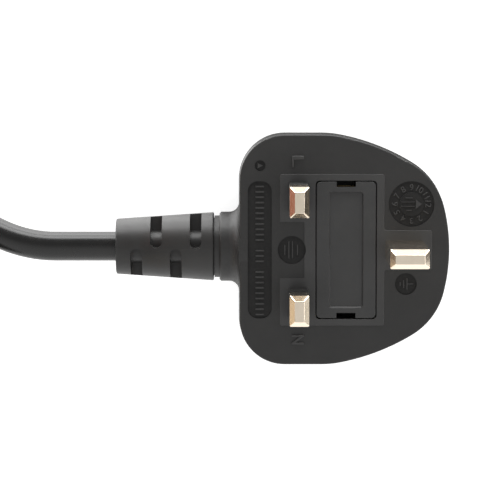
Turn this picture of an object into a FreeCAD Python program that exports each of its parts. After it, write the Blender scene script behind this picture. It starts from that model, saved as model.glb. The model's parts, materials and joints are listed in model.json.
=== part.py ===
import FreeCAD, Part
import math
import os

from FreeCAD import Vector

# A three pin mains plug with its lead, lying on its flat back with the pins up.
# +Z runs along the pins, +X points from the cord towards the earth pin and +Y
# towards the live pin. The origin is on the back face, under the middle of the
# pin pattern. All sizes are in millimetres.

# Pins, to the sizes that every socket of this kind takes
PIN_ROW_TO_EARTH = 22.23
PIN_ROW_SPACING = 22.23
LINE_PIN_WIDE = 6.35
LINE_PIN_THICK = 3.98
LINE_PIN_REACH = 17.7
EARTH_PIN_WIDE = 7.98
EARTH_PIN_THICK = 3.98
EARTH_PIN_REACH = 22.73
PIN_EDGE_ROUND = 0.3
PIN_TIP_INSET = 1.05
PIN_TIP_HEIGHT = 1.5
PIN_TIP_ROUND = 0.15
PIN_TIP_CORNER = 0.2
SLEEVE_REACH = 9.5
SLEEVE_WALL = 0.5

# Riveted root of each pin
ROOT_BORDER = 0.4
ROOT_THICK = 1.5
RIVET_RADIUS = 1.2
RIVET_HEAD_RADIUS = 1.45
RIVET_HEAD_THICK = 0.8

# Moulded body
BODY_HALF_WIDTH = 24.31
BODY_CORD_SIDE_X = -23.55
BODY_NOSE_X = 20.7
CORD_CORNER_RADIUS = 9.6
BREAK_START_X = -6.2
BREAK_RADIUS = 21.0
BREAK_ANGLE = 11.0
SHOULDER_RADIUS = 46.0
NOSE_CORNER_RADIUS = 14.7
NOSE_RADIUS = 37.0
PARTING_BELOW_FACE = 6.0
FACE_INSET = 0.2
BACK_INSET = 0.9
FACE_EDGE_ROUND = 0.3
BACK_EDGE_ROUND = 2.6

# Marks sunk into the face, left bare for their signs
RECESS_DEPTH = 0.25
STRIP_X = -19.16
STRIP_WIDE = 5.04
STRIP_LONG = 28.8
STRIP_CORNER = 2.1
DOT_X = -19.1
DOT_Y = 17.66
DOT_RADIUS = 1.15
MIDDLE_DISC_X = -12.46
MIDDLE_DISC_RADIUS = 2.95
DIAL_X = 12.55
DIAL_Y = 9.64
DIAL_RADIUS = 4.78
DIAL_HUB_RADIUS = 2.5
EARTH_DISC_X = 11.44
EARTH_DISC_Y = -7.15
EARTH_DISC_RADIUS = 2.28

# Cord and the neck that it leaves through
CORD_RADIUS = 3.1
CORD_AXIS_RISE = 0.3
COLLAR_RADIUS = 7.35
COLLAR_START_X = -27.65
FLARE_START_X = -25.6
FLARE_RADIUS = 9.5
GROOVE_RADIUS = 6.55
GROOVE_START_X = -28.7
EDGE_BREAK = 0.35
NECK_LAP = 3.0

# Slotted strain relief of the plug
RELIEF_LENGTH = 20.7
RELIEF_SMALL_RADIUS = 5.85
RELIEF_BIG_RADIUS = 7.25
RELIEF_END_ROUND = 0.4
RELIEF_SEAM_GAP = 0.15
RELIEF_SEAM_ROUND = 0.3
RELIEF_SEAM_DEPTH = 0.4
RELIEF_CORE_RADIUS = 3.5
SLOT_WIDTH = 2.45
SLOT_PITCH = 4.17
SLOT_START = 3.15
SLOT_COUNT = 4
SLOT_END_BORDER = 0.1
SLOT_WEB = 1.2
SPIGOT_RADIUS = 4.5
SPIGOT_END_X = -20.0
ANCHOR_RADIUS = 5.6
ANCHOR_THICK = 1.5

# Hard insert that carries the pins, seen on the face
PIN_PAD_OUTER_BORDER = 1.845
PIN_PAD_INNER_BORDER = 2.04
PIN_PAD_END_BORDER = 1.61
PAD_STEP_PAST_PINS = 1.275
EARTH_PAD_END_BORDER = 1.775
EARTH_PAD_SIDE_BORDER = 2.16
WELL_SIDE_BORDER = 1.6
WELL_END_BORDER = 1.375
INSERT_CORNER = 0.5
INSERT_PROUD = 0.12
INSERT_EDGE_ROUND = 0.1
PLATE_THICK = 3.0
PAD_STEP_DEPTH = 1.5
WELL_X = -1.1
WELL_WIDE = 12.8
WELL_CORNER = 0.8
WELL_WALL = 0.8
WELL_LEDGE = 0.5
WELL_FLOOR_THICK = 1.4

# Cover that closes the insert from behind
COVER_BACK_HEIGHT = 2.2
COVER_WALL = 1.2
COVER_FLOOR = 1.4

# Fuse
FUSE_LENGTH = 25.4
FUSE_CAP_RADIUS = 3.175
FUSE_CAP_WALL = 0.33
FUSE_CAP_LENGTH = 5.6
FUSE_TUBE_BORE = 1.9
FUSE_WIRE_RADIUS = 0.15
FUSE_HEAD_ROOM = 1.25
FUSE_END_ROOM = 0.25

# Fuse carrier, which is pried out of the well
CARRIER_GAP = 0.2
LID_THICK = 2.0
LID_CORNER = 0.95
LID_EDGE_ROUND = 0.12
LID_RECESS_X = -1.1
LID_RECESS_WIDE = 7.2
LID_RECESS_END_BORDER = 2.125
LID_RECESS_DEPTH = 0.4
LID_RECESS_DRAFT = 0.3
PRY_NOTCH_WIDE = 4.0
PRY_NOTCH_DEEP = 1.1
CRADLE_CAP_GAP = 2.1
CRADLE_WALL = 1.5
CRADLE_DROP = 0.8
END_WALL_THICK = 1.05
END_WALL_GAP = 0.525
STOP_GAP = 0.05

# Folded brass clips and terminals
SHEET = 0.6
BEND_RADIUS = 0.8
CLIP_WIDTH = 3.8
CLIP_END_ROOM = 0.3
CLIP_CLEARANCE = 0.1
CLIP_FLARE = 0.8
CLIP_RISE = 1.0
STRAP_PAST_CLIP = 0.4
STRAP_WALL_GAP = 0.275
STRAP_PAST_PIN = 2.185
TAB_INWARD = 2.515
TAB_OUTWARD = 1.685
STRAP_LAP = 1.0
SLOT_EASE = 0.1
TAIL_WIDTH = 2.4
BARREL_RADIUS = 1.05
BARREL_LENGTH = 3.0
EYELET_RADIUS = 2.3
TONGUE_REACH = 1.2
TONGUE_LAP = 1.0

# Insulated cores and their copper
CORE_RADIUS = 1.15
COPPER_RADIUS = 0.55
SHEATH_STRIP = 1.25
CORE_STRAIGHT = 1.6
CORE_RISE = 0.62
CORE_LEAD = 1.3
LIVE_LEAD = 1.9
CORE_FLOOR_GAP = 0.45
CORE_WELL_GAP = 1.07
EARTH_CRIMP_OFFSET = 2.885

# Put away hank of the lead and its ties
LANE_PITCH = 6.25
LANE_COUNT = 3
LAYER_COUNT = 2
INNER_LANE_RADIUS = 18.7
HANK_RUN = 59.0
HANK_NEAR_X = -76.5
HANK_CENTRE_Y = -12.5
HANK_EDGE_ROUND = 2.6
TIE_THICK = 0.6
TIE_WIDTH = 6.0
TIE_X = -134.0

# Appliance connector on the far end
CONNECTOR_START_X = -145.0
CONNECTOR_RELIEF_LENGTH = 18.0
CONNECTOR_RELIEF_SMALL_RADIUS = 4.9
CONNECTOR_RELIEF_BIG_RADIUS = 6.4
CONNECTOR_SLOT_COUNT = 3
GRIP_LENGTH = 20.0
GRIP_WIDE = 27.0
GRIP_HIGH = 19.4
GRIP_CORNER = 4.0
GRIP_BACK_WIDE = 17.0
GRIP_BACK_HIGH = 15.0
GRIP_TAPER = 9.0
NOSE_LENGTH = 20.0
NOSE_WIDE = 24.0
NOSE_HIGH = 16.2
NOSE_CHAMFER = 4.4
NOSE_EDGE_ROUND = 0.8
FACE_PLATE_BORDER = 2.6
FACE_PLATE_SUNK = 0.3
FACE_PLATE_DEPTH = 15.0
CONTACT_SPACING = 14.0
CONTACT_EARTH_OFFSET = 4.0
CONTACT_SLOT_WIDE = 2.4
CONTACT_SLOT_HIGH = 4.6
CONTACT_SHEET = 0.4
CONTACT_SUNK = 1.2
CONTACT_LENGTH = 11.0
CONTACT_BACK_WALL = 1.0

# The cord's route where it isn't wound up, from inside the plug to the hank,
# and from the hank to the connector. These points are chosen by hand.
CORD_ROUTE = [
    (-69.5, 0.0, 9.8),
    (-83.5, 6.9, 4.2),
    (-98.5, 17.6, 3.725),
    (-114.0, 18.7, 3.725),
]
TAIL_ROUTE = [
    (-103.0, 18.7, 10.1),
    (-115.0, 17.9, 13.2),
    (-126.5, 14.6, 20.2),
    (-138.5, 12.45, 23.4),
    (-163.0, 12.45, 23.4),
]

# Bends of the three cores inside the cover, chosen by hand too. The third value
# is the height above the cores that lie under the well.
CORE_BENDS = {
    "neutral": [(-11.3, -2.6, 6.32)],
    "live": [(-10.9, -0.8, 1.4), (-9.4, -4.4, 0.0), (-8.2, -8.2, 0.0)],
    "earth": [(-10.8, 1.9, 3.4), (-9.2, 2.0, 1.2), (-6.5, 1.8, 0.0), (3.5, 1.0, 0.0)],
}

# Reach of a cutting shape past what it cuts, and the slack in finding an edge
CUT_MARGIN = 1.0
EDGE_SLACK = 1e-4

# Heights, from the cover's floor up to the face
cover_floor_top = COVER_BACK_HEIGHT + COVER_FLOOR
feed_height = cover_floor_top + CORE_FLOOR_GAP + CORE_RADIUS
well_bottom = feed_height + CORE_RADIUS + CORE_WELL_GAP
well_floor = well_bottom + WELL_FLOOR_THICK
fuse_height = well_floor + SHEET + CLIP_CLEARANCE + FUSE_CAP_RADIUS
insert_top = fuse_height + FUSE_CAP_RADIUS + FUSE_HEAD_ROOM + LID_THICK
face_height = insert_top - INSERT_PROUD
plate_bottom = insert_top - PLATE_THICK
root_bottom = plate_bottom - ROOT_THICK
parting_height = face_height - PARTING_BELOW_FACE
cord_axis_height = face_height / 2 + CORD_AXIS_RISE

# Places of the pins and of the insert round them
pin_row_x = -PIN_ROW_TO_EARTH / 2
earth_x = PIN_ROW_TO_EARTH / 2
live_y = PIN_ROW_SPACING / 2
fuse_tube_radius = FUSE_CAP_RADIUS - FUSE_CAP_WALL
end_wall_y = FUSE_LENGTH / 2 + FUSE_END_ROOM
well_long = 2 * (end_wall_y + END_WALL_THICK + END_WALL_GAP)
insert_left_x = pin_row_x - LINE_PIN_THICK / 2 - PIN_PAD_OUTER_BORDER
insert_right_x = WELL_X + WELL_WIDE / 2 + WELL_SIDE_BORDER
insert_half_width = max(live_y + LINE_PIN_WIDE / 2 + PIN_PAD_END_BORDER, well_long / 2 + WELL_END_BORDER)
pad_inner_y = live_y - LINE_PIN_WIDE / 2 - PIN_PAD_INNER_BORDER
pad_step_end_x = pin_row_x + PAD_STEP_PAST_PINS
earth_pad_end_x = earth_x + EARTH_PIN_WIDE / 2 + EARTH_PAD_END_BORDER
earth_pad_half_width = EARTH_PIN_THICK / 2 + EARTH_PAD_SIDE_BORDER

# Places of the clips, the crimps and the ends of the sheath and the relief
clip_centre_y = FUSE_LENGTH / 2 - CLIP_END_ROOM - CLIP_WIDTH / 2
strap_start_y = clip_centre_y - CLIP_WIDTH / 2
strap_width = CLIP_WIDTH + STRAP_PAST_CLIP
strap_riser_x = WELL_X - WELL_WIDE / 2 - WELL_WALL - STRAP_WALL_GAP - SHEET / 2
crimp_drop_x = earth_x + EARTH_CRIMP_OFFSET
sheath_end_x = insert_left_x + SHEATH_STRIP
relief_end_x = GROOVE_START_X - RELIEF_SEAM_GAP
relief_start_x = relief_end_x - RELIEF_LENGTH
lead_route = [(sheath_end_x, 0.0, cord_axis_height)] + CORD_ROUTE

# Places of the hank and of the connector
outer_lane_radius = INNER_LANE_RADIUS + (LANE_COUNT - 1) * LANE_PITCH
hank_height = LAYER_COUNT * LANE_PITCH + 2 * TIE_THICK
hank_outer_radius = outer_lane_radius + LANE_PITCH / 2 + TIE_THICK
hank_inner_radius = INNER_LANE_RADIUS - LANE_PITCH / 2 - TIE_THICK
hank_near_centre_x = HANK_NEAR_X - hank_outer_radius
hank_far_centre_x = hank_near_centre_x - HANK_RUN
connector_height = hank_height + GRIP_HIGH / 2
connector_y = HANK_CENTRE_Y + INNER_LANE_RADIUS + LANE_PITCH


# Shared shapes

def corner_points(before, corner, after, radius):
    """Ends and middle of the arc that rounds one corner."""
    back = (before - corner).normalize()
    ahead = (after - corner).normalize()
    half_turn = (math.pi - back.getAngle(ahead)) / 2
    reach = radius * math.tan(half_turn)
    middle = corner + (back + ahead).normalize() * (radius / math.cos(half_turn) - radius)
    return corner + back * reach, middle, corner + ahead * reach


def rounded_wire(points, radii, closed=True):
    """Straight runs joined by tangent arcs of the given radii."""
    count = len(points)
    turns = []
    for index, corner in enumerate(points):
        at_end = not closed and index in (0, count - 1)
        if at_end or radii[index] == 0:
            turns.append((corner, None, corner))
        else:
            after = points[(index + 1) % count]
            turns.append(corner_points(points[index - 1], corner, after, radii[index]))
    edges = []
    for index, (first, middle, last) in enumerate(turns):
        if middle is not None:
            edges.append(Part.Arc(first, middle, last).toShape())
        if closed or index + 1 < count:
            following = turns[(index + 1) % count][0]
            if (following - last).Length > EDGE_SLACK:
                edges.append(Part.LineSegment(last, following).toShape())
    return Part.Wire(edges)


def rounded_rectangle(centre_x, centre_y, size_x, size_y, corner, height):
    """Rectangle with round corners, flat at one height."""
    half_x = size_x / 2
    half_y = size_y / 2
    points = [
        Vector(centre_x + sign_x * half_x, centre_y + sign_y * half_y, height)
        for sign_x, sign_y in ((-1, -1), (1, -1), (1, 1), (-1, 1))
    ]
    return rounded_wire(points, [corner] * 4)


def prism(wire, rise):
    """Solid that stands on a flat outline."""
    return Part.Face(wire).extrude(Vector(0, 0, rise))


def block(low, high):
    """Box between its lowest and highest corners."""
    size = Vector(*high) - Vector(*low)
    return Part.makeBox(size.x, size.y, size.z, Vector(*low))


def rod(start, length, radius, along):
    """Round bar from a point along a direction."""
    return Part.makeCylinder(radius, length, Vector(*start), Vector(*along))


def cord_side_rod(start_x, end_x, radius):
    """Round bar on the cord's axis between two places along X."""
    return rod((start_x, 0, cord_axis_height), end_x - start_x, radius, (1, 0, 0))


def revolved(profile, axis_y, axis_height):
    """Solid turned about a line along X from points of x and radius."""
    points = [Vector(x, axis_y, axis_height + radius) for x, radius in profile]
    face = Part.Face(Part.makePolygon(points + points[:1]))
    return face.revolve(Vector(0, axis_y, axis_height), Vector(1, 0, 0), 360)


def edges_at_height(shape, height):
    """Edges that lie wholly at one height."""
    return [
        edge for edge in shape.Edges
        if abs(edge.BoundBox.ZMin - height) < EDGE_SLACK and abs(edge.BoundBox.ZMax - height) < EDGE_SLACK
    ]


def folded_sheet(points, start_y, width):
    """Sheet metal folded along a line in the X-Z plane, as wide along Y as given."""
    count = len(points)
    line = [Vector(x, start_y, z) for x, z in points]
    sides = []
    for side in (1, -1):
        offsets = []
        radii = []
        for index, point in enumerate(line):
            before = (point - line[index - 1]).normalize() if index > 0 else None
            after = (line[index + 1] - point).normalize() if index + 1 < count else None
            before = before or after
            after = after or before
            left_before = Vector(-before.z, 0, before.x)
            left_after = Vector(-after.z, 0, after.x)
            mitre = (left_before + left_after).normalize()
            stretch = side * SHEET / 2 / mitre.dot(left_after)
            offsets.append(point + mitre * stretch)
            turn = before.x * after.z - before.z * after.x
            radii.append(BEND_RADIUS - math.copysign(SHEET / 2, turn * side))
        sides.append((offsets, radii))
    (left, left_radii), (right, right_radii) = sides
    outline = left + right[::-1]
    corners = left_radii + right_radii[::-1]
    for sharp in (0, count - 1, count, 2 * count - 1):
        corners[sharp] = 0
    return Part.Face(rounded_wire(outline, corners)).extrude(Vector(0, width, 0))


def cord_path(route):
    """Straight runs joined by the largest arcs that they leave room for."""
    points = [Vector(*place) for place in route]
    radii = [0] * len(points)
    for index in range(1, len(points) - 1):
        back = points[index - 1] - points[index]
        ahead = points[index + 1] - points[index]
        half_turn = (math.pi - back.getAngle(ahead)) / 2
        radii[index] = 0.45 * min(back.Length, ahead.Length) / math.tan(half_turn)
    return rounded_wire(points, radii, closed=False), radii


def tube_along(route, radius):
    """Round solid that follows a route."""
    path, radii = cord_path(route)
    first = Vector(*route[0])
    direction = Vector(*route[1]) - first
    profile = Part.Wire(Part.Circle(first, direction, radius).toShape())
    return path.makePipeShell([profile], True, False)


# Pins, roots and sleeves

def pin_section(centre_x, centre_y, size_x, size_y, inset, height):
    """Outline of a pin, drawn in on all sides by an inset."""
    corner = PIN_TIP_CORNER if inset else PIN_EDGE_ROUND
    return rounded_rectangle(centre_x, centre_y, size_x - 2 * inset, size_y - 2 * inset, corner, height)


def rivet_root(centre_x, centre_y, size_x, size_y):
    """Flange under the insert's plate with the rivet that holds a terminal."""
    border = 2 * ROOT_BORDER
    flange = prism(
        rounded_rectangle(centre_x, centre_y, size_x + border, size_y + border, PIN_EDGE_ROUND, root_bottom),
        ROOT_THICK,
    )
    stem = rod((centre_x, centre_y, root_bottom - SHEET), SHEET, RIVET_RADIUS, (0, 0, 1))
    head_bottom = root_bottom - SHEET - RIVET_HEAD_THICK
    head = Part.makeCone(
        RIVET_RADIUS, RIVET_HEAD_RADIUS, RIVET_HEAD_THICK, Vector(centre_x, centre_y, head_bottom)
    )
    return flange.fuse([stem, head])


def pin(centre_x, centre_y, size_x, size_y, reach, sleeve_reach):
    """Pin with a chamfered tip, drawn in where a sleeve sits on it."""
    tip_start = face_height + reach - PIN_TIP_HEIGHT
    sleeve_top = face_height + sleeve_reach if sleeve_reach else plate_bottom
    shank = prism(pin_section(centre_x, centre_y, size_x, size_y, 0, sleeve_top), tip_start - sleeve_top)
    tip = Part.makeLoft(
        [
            pin_section(centre_x, centre_y, size_x, size_y, 0, tip_start),
            pin_section(centre_x, centre_y, size_x, size_y, PIN_TIP_INSET, tip_start + PIN_TIP_HEIGHT),
        ],
        True, True,
    )
    tip = tip.makeFillet(PIN_TIP_ROUND, edges_at_height(tip, tip_start + PIN_TIP_HEIGHT))
    pieces = [tip, rivet_root(centre_x, centre_y, size_x, size_y)]
    if sleeve_reach:
        neck = pin_section(centre_x, centre_y, size_x, size_y, SLEEVE_WALL, plate_bottom)
        pieces.append(prism(neck, sleeve_top - plate_bottom))
    return shank.fuse(pieces).removeSplitter()


def pin_sleeve(centre_y):
    """Insulating sleeve, flush with the bare part of a line pin."""
    rise = face_height + SLEEVE_REACH - plate_bottom
    outer = prism(pin_section(pin_row_x, centre_y, LINE_PIN_THICK, LINE_PIN_WIDE, 0, plate_bottom), rise)
    neck = pin_section(pin_row_x, centre_y, LINE_PIN_THICK, LINE_PIN_WIDE, SLEEVE_WALL, plate_bottom)
    return outer.cut(prism(neck, rise))


def line_pin(centre_y):
    """Live or neutral pin."""
    return pin(pin_row_x, centre_y, LINE_PIN_THICK, LINE_PIN_WIDE, LINE_PIN_REACH, SLEEVE_REACH)


def earth_pin():
    """Longer, wider earth pin with no sleeve."""
    return pin(earth_x, 0, EARTH_PIN_WIDE, EARTH_PIN_THICK, EARTH_PIN_REACH, 0)


# Hard insert and its cover

def insert_outline(inset, height):
    """Whole outline of the insert, pin row and earth pad together."""
    left = insert_left_x + inset
    right = insert_right_x - inset
    half = insert_half_width - inset
    pad_end = earth_pad_end_x - inset
    pad_half = earth_pad_half_width - inset
    corners = [
        (left, -half), (right, -half), (right, -pad_half), (pad_end, -pad_half),
        (pad_end, pad_half), (right, pad_half), (right, half), (left, half),
    ]
    return rounded_wire([Vector(x, y, height) for x, y in corners], [INSERT_CORNER] * len(corners))


def pad_step():
    """Space between the two pin pads, which the soft body fills."""
    return block(
        (insert_left_x - CUT_MARGIN, -pad_inner_y, insert_top - PAD_STEP_DEPTH),
        (pad_step_end_x, pad_inner_y, insert_top + CUT_MARGIN),
    )


def round_recess(x, y, radius):
    """Shallow round mark sunk into the face."""
    return rod((x, y, face_height - RECESS_DEPTH), RECESS_DEPTH + CUT_MARGIN, radius, (0, 0, 1))


def middle_recess():
    """Round mark between the line pins, half on the soft body and half on the insert's edge."""
    return round_recess(MIDDLE_DISC_X, 0, MIDDLE_DISC_RADIUS)


def insert_envelope():
    """Space that the insert and its cover take out of the soft body."""
    whole = prism(insert_outline(0, COVER_BACK_HEIGHT), insert_top - COVER_BACK_HEIGHT)
    return whole.cut(pad_step())


def well_outline(border, height):
    """Outline of the fuse well, grown by a border."""
    return rounded_rectangle(
        WELL_X, 0, WELL_WIDE + 2 * border, well_long + 2 * border, WELL_CORNER + border, height
    )


def well_hollow():
    """Hollow of the fuse well, narrower under the ledges that the lid rests on."""
    ledge_height = insert_top - LID_THICK - STOP_GAP
    wide = prism(well_outline(0, ledge_height), insert_top - ledge_height + CUT_MARGIN)
    narrow = prism(
        rounded_rectangle(WELL_X, 0, WELL_WIDE - 2 * WELL_LEDGE, well_long, WELL_CORNER, well_floor),
        ledge_height - well_floor,
    )
    return wide.fuse(narrow)


def strap_passage():
    """Slot in the well's side for the live strap."""
    wall_x = WELL_X - WELL_WIDE / 2 + WELL_LEDGE
    start_y = strap_start_y - SLOT_EASE
    end_y = strap_start_y + strap_width + SLOT_EASE
    return block(
        (wall_x - WELL_LEDGE - WELL_WALL - CUT_MARGIN, start_y, well_floor),
        (wall_x + CUT_MARGIN, end_y, well_floor + SHEET + SLOT_EASE),
    )


def tail_passage():
    """Slot in the well's floor for the tail of the load clip."""
    half_x = SHEET / 2 + SLOT_EASE
    half_y = TAIL_WIDTH / 2 + SLOT_EASE
    return block(
        (WELL_X - half_x, -clip_centre_y - half_y, well_bottom - CUT_MARGIN),
        (WELL_X + half_x, -clip_centre_y + half_y, well_floor + CUT_MARGIN),
    )


def pin_bridge():
    """Insert that carries the pins, with the fuse well hanging under its plate."""
    plate = prism(insert_outline(0, plate_bottom), PLATE_THICK)
    plate = plate.makeFillet(INSERT_EDGE_ROUND, edges_at_height(plate, insert_top)).cut(pad_step())
    well = prism(well_outline(WELL_WALL, well_bottom), plate_bottom - well_bottom)
    bridge = plate.fuse(well).cut(well_hollow())
    rim = [
        edge for edge in edges_at_height(bridge, insert_top)
        if abs(edge.CenterOfMass.x - WELL_X) < WELL_WIDE / 2 + EDGE_SLACK
        and abs(edge.CenterOfMass.y) < well_long / 2 + EDGE_SLACK
    ]
    bridge = bridge.makeFillet(INSERT_EDGE_ROUND, rim)
    for centre_y in (live_y, -live_y):
        section = pin_section(pin_row_x, centre_y, LINE_PIN_THICK, LINE_PIN_WIDE, 0, plate_bottom)
        bridge = bridge.cut(prism(section, PLATE_THICK))
    section = pin_section(earth_x, 0, EARTH_PIN_WIDE, EARTH_PIN_THICK, 0, plate_bottom)
    bridge = bridge.cut(prism(section, PLATE_THICK))
    return bridge.cut([strap_passage(), tail_passage(), middle_recess()]).removeSplitter()


def bridge_cover():
    """Tray that closes the insert from behind and lets the cord in."""
    tray = prism(insert_outline(0, COVER_BACK_HEIGHT), plate_bottom - COVER_BACK_HEIGHT)
    hollow_start = COVER_BACK_HEIGHT + COVER_FLOOR
    hollow = prism(insert_outline(COVER_WALL, hollow_start), plate_bottom - hollow_start)
    well = prism(well_outline(WELL_WALL, well_bottom), plate_bottom - well_bottom)
    entry_end_x = insert_left_x + COVER_WALL + CUT_MARGIN
    entry = cord_side_rod(insert_left_x - CUT_MARGIN, entry_end_x, CORD_RADIUS)
    return tray.cut([hollow, well, entry])


# Soft body

def circle_meeting(first, first_radius, second, second_radius):
    """Meeting point of two circles, the one further from the cord."""
    span = second - first
    along = (first_radius ** 2 - second_radius ** 2 + span.Length ** 2) / (2 * span.Length)
    across = math.sqrt(first_radius ** 2 - along ** 2)
    unit = Vector(span).normalize()
    normal = Vector(unit.y, -unit.x, 0)
    if normal.x < 0:
        normal = normal * -1
    return first + unit * along + normal * across


def arc_about(centre, radius, start, end):
    """Arc of a circle from one of its points to another, the short way."""
    middle = centre + (start + end - centre * 2).normalize() * radius
    return Part.Arc(start, middle, end).toShape()


def body_outline(inset, height):
    """Outline of the body seen along the pins, drawn in by an inset."""
    half = BODY_HALF_WIDTH - inset
    corner = Vector(BODY_CORD_SIDE_X + CORD_CORNER_RADIUS, BODY_HALF_WIDTH - CORD_CORNER_RADIUS, height)
    first = Vector(BREAK_START_X, BODY_HALF_WIDTH - BREAK_RADIUS, height)
    turned = Vector(math.sin(math.radians(BREAK_ANGLE)), math.cos(math.radians(BREAK_ANGLE)), 0)
    shoulder = first - turned * (SHOULDER_RADIUS - BREAK_RADIUS)
    nose = Vector(BODY_NOSE_X - NOSE_RADIUS, 0, height)
    bend = circle_meeting(
        shoulder, SHOULDER_RADIUS - NOSE_CORNER_RADIUS, nose, NOSE_RADIUS - NOSE_CORNER_RADIUS
    )
    side = Vector(BODY_CORD_SIDE_X + inset, corner.y, height)
    flat_start = Vector(corner.x, half, height)
    flat_end = Vector(first.x, half, height)
    break_end = first + turned * (BREAK_RADIUS - inset)
    bend_radius = NOSE_CORNER_RADIUS - inset
    bend_start = bend + (bend - shoulder).normalize() * bend_radius
    bend_end = bend + (bend - nose).normalize() * bend_radius
    upper = [
        arc_about(corner, CORD_CORNER_RADIUS - inset, side, flat_start),
        Part.LineSegment(flat_start, flat_end).toShape(),
        arc_about(first, BREAK_RADIUS - inset, flat_end, break_end),
        arc_about(shoulder, SHOULDER_RADIUS - inset, break_end, bend_start),
        arc_about(bend, bend_radius, bend_start, bend_end),
    ]
    lower = [edge.mirror(Vector(0, 0, 0), Vector(0, 1, 0)) for edge in upper]
    tip = Vector(BODY_NOSE_X - inset, 0, height)
    lower_end = Vector(bend_end.x, -bend_end.y, height)
    lower_side = Vector(side.x, -side.y, height)
    edges = upper + [Part.Arc(bend_end, tip, lower_end).toShape()] + lower[::-1]
    edges.append(Part.LineSegment(lower_side, side).toShape())
    return Part.Wire(edges)


def body_neck():
    """Collar that flares into the body, with the groove at its mouth."""
    profile = [
        (GROOVE_START_X, 0),
        (GROOVE_START_X, GROOVE_RADIUS),
        (COLLAR_START_X, GROOVE_RADIUS),
        (COLLAR_START_X, COLLAR_RADIUS - EDGE_BREAK),
        (COLLAR_START_X + EDGE_BREAK, COLLAR_RADIUS),
        (FLARE_START_X, COLLAR_RADIUS),
    ]
    flare_end = Vector(BODY_CORD_SIDE_X, 0, cord_axis_height + FLARE_RADIUS)
    flare_start = Vector(FLARE_START_X, 0, cord_axis_height + COLLAR_RADIUS)
    run = BODY_CORD_SIDE_X - FLARE_START_X
    rise = FLARE_RADIUS - COLLAR_RADIUS
    sweep = (run ** 2 + rise ** 2) / (2 * rise)
    half_angle = math.asin(run / sweep) / 2
    sag = flare_start + Vector(sweep * math.sin(half_angle), 0, sweep * (1 - math.cos(half_angle)))
    points = [Vector(x, 0, cord_axis_height + radius) for x, radius in profile]
    edges = [Part.LineSegment(start, end).toShape() for start, end in zip(points, points[1:])]
    edges.append(Part.Arc(flare_start, sag, flare_end).toShape())
    inside = Vector(BODY_CORD_SIDE_X + NECK_LAP, 0, flare_end.z)
    inside_axis = Vector(inside.x, 0, cord_axis_height)
    for start, end in ((flare_end, inside), (inside, inside_axis), (inside_axis, points[0])):
        edges.append(Part.LineSegment(start, end).toShape())
    return Part.Face(Part.Wire(edges)).revolve(Vector(0, 0, cord_axis_height), Vector(1, 0, 0), 360)


def face_recesses():
    """Shallow marks sunk into the face, apart from the middle disc."""
    discs = [
        (DOT_X, DOT_Y, DOT_RADIUS),
        (DIAL_X, DIAL_Y, DIAL_RADIUS),
        (EARTH_DISC_X, EARTH_DISC_Y, EARTH_DISC_RADIUS),
    ]
    recesses = [round_recess(x, y, radius) for x, y, radius in discs]
    strip = rounded_rectangle(STRIP_X, 0, STRIP_WIDE, STRIP_LONG, STRIP_CORNER, face_height - RECESS_DEPTH)
    recesses.append(prism(strip, RECESS_DEPTH + CUT_MARGIN))
    return recesses


def plug_body():
    """Soft moulding round the insert, with the collar that the cord leaves through."""
    back = body_outline(BACK_INSET, 0)
    widest = body_outline(0, parting_height)
    face = body_outline(FACE_INSET, face_height)
    lower = Part.makeLoft([back, widest], True, True)
    upper = Part.makeLoft([widest, face], True, True)
    lower = lower.makeFillet(BACK_EDGE_ROUND, edges_at_height(lower, 0))
    upper = upper.makeFillet(FACE_EDGE_ROUND, edges_at_height(upper, face_height))
    body = lower.fuse([upper, body_neck()])
    bores = [
        cord_side_rod(GROOVE_START_X - CUT_MARGIN, SPIGOT_END_X, SPIGOT_RADIUS),
        cord_side_rod(SPIGOT_END_X, SPIGOT_END_X + ANCHOR_THICK, ANCHOR_RADIUS),
        cord_side_rod(SPIGOT_END_X, insert_left_x + CUT_MARGIN, CORD_RADIUS),
    ]
    hub = rod((DIAL_X, DIAL_Y, face_height - RECESS_DEPTH), RECESS_DEPTH, DIAL_HUB_RADIUS, (0, 0, 1))
    return body.cut([insert_envelope(), middle_recess()] + bores + face_recesses()).fuse(hub)


# Strain reliefs

def end_rim(shape, place_x):
    """Edges that lie wholly in one plane across X."""
    return [
        edge for edge in shape.Edges
        if abs(edge.BoundBox.XMin - place_x) < EDGE_SLACK and abs(edge.BoundBox.XMax - place_x) < EDGE_SLACK
    ]


def slotted_relief(start_x, length, small_radius, big_radius, slots, axis_y, axis_height):
    """Tapered sleeve on the cord, with pairs of slots on alternate sides, a web between each pair."""
    cone = revolved(
        [(start_x, 0), (start_x, small_radius), (start_x + length, big_radius), (start_x + length, 0)],
        axis_y, axis_height,
    )
    cone = cone.makeFillet(RELIEF_END_ROUND, end_rim(cone, start_x))
    cone = cone.makeFillet(RELIEF_SEAM_ROUND, end_rim(cone, start_x + length))
    core = rod((start_x, axis_y, axis_height), length, RELIEF_CORE_RADIUS, (1, 0, 0))
    half = SLOT_WIDTH / 2
    for index in range(slots):
        side = -1 if index % 2 == 0 else 1
        centre_x = start_x + SLOT_START + index * SLOT_PITCH + half
        reach = big_radius + CUT_MARGIN
        inner_y = axis_y + side * (SLOT_END_BORDER + half)
        outer_y = axis_y + side * reach
        straight = block(
            (centre_x - half, min(inner_y, outer_y), axis_height - reach),
            (centre_x + half, max(inner_y, outer_y), axis_height + reach),
        )
        round_end = rod((centre_x, inner_y, axis_height - reach), 2 * reach, half, (0, 0, 1))
        web = block(
            (centre_x - half, axis_y - reach, axis_height - SLOT_WEB / 2),
            (centre_x + half, axis_y + reach, axis_height + SLOT_WEB / 2),
        )
        cone = cone.cut(straight.fuse(round_end).cut([core, web]))
    return cone


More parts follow.
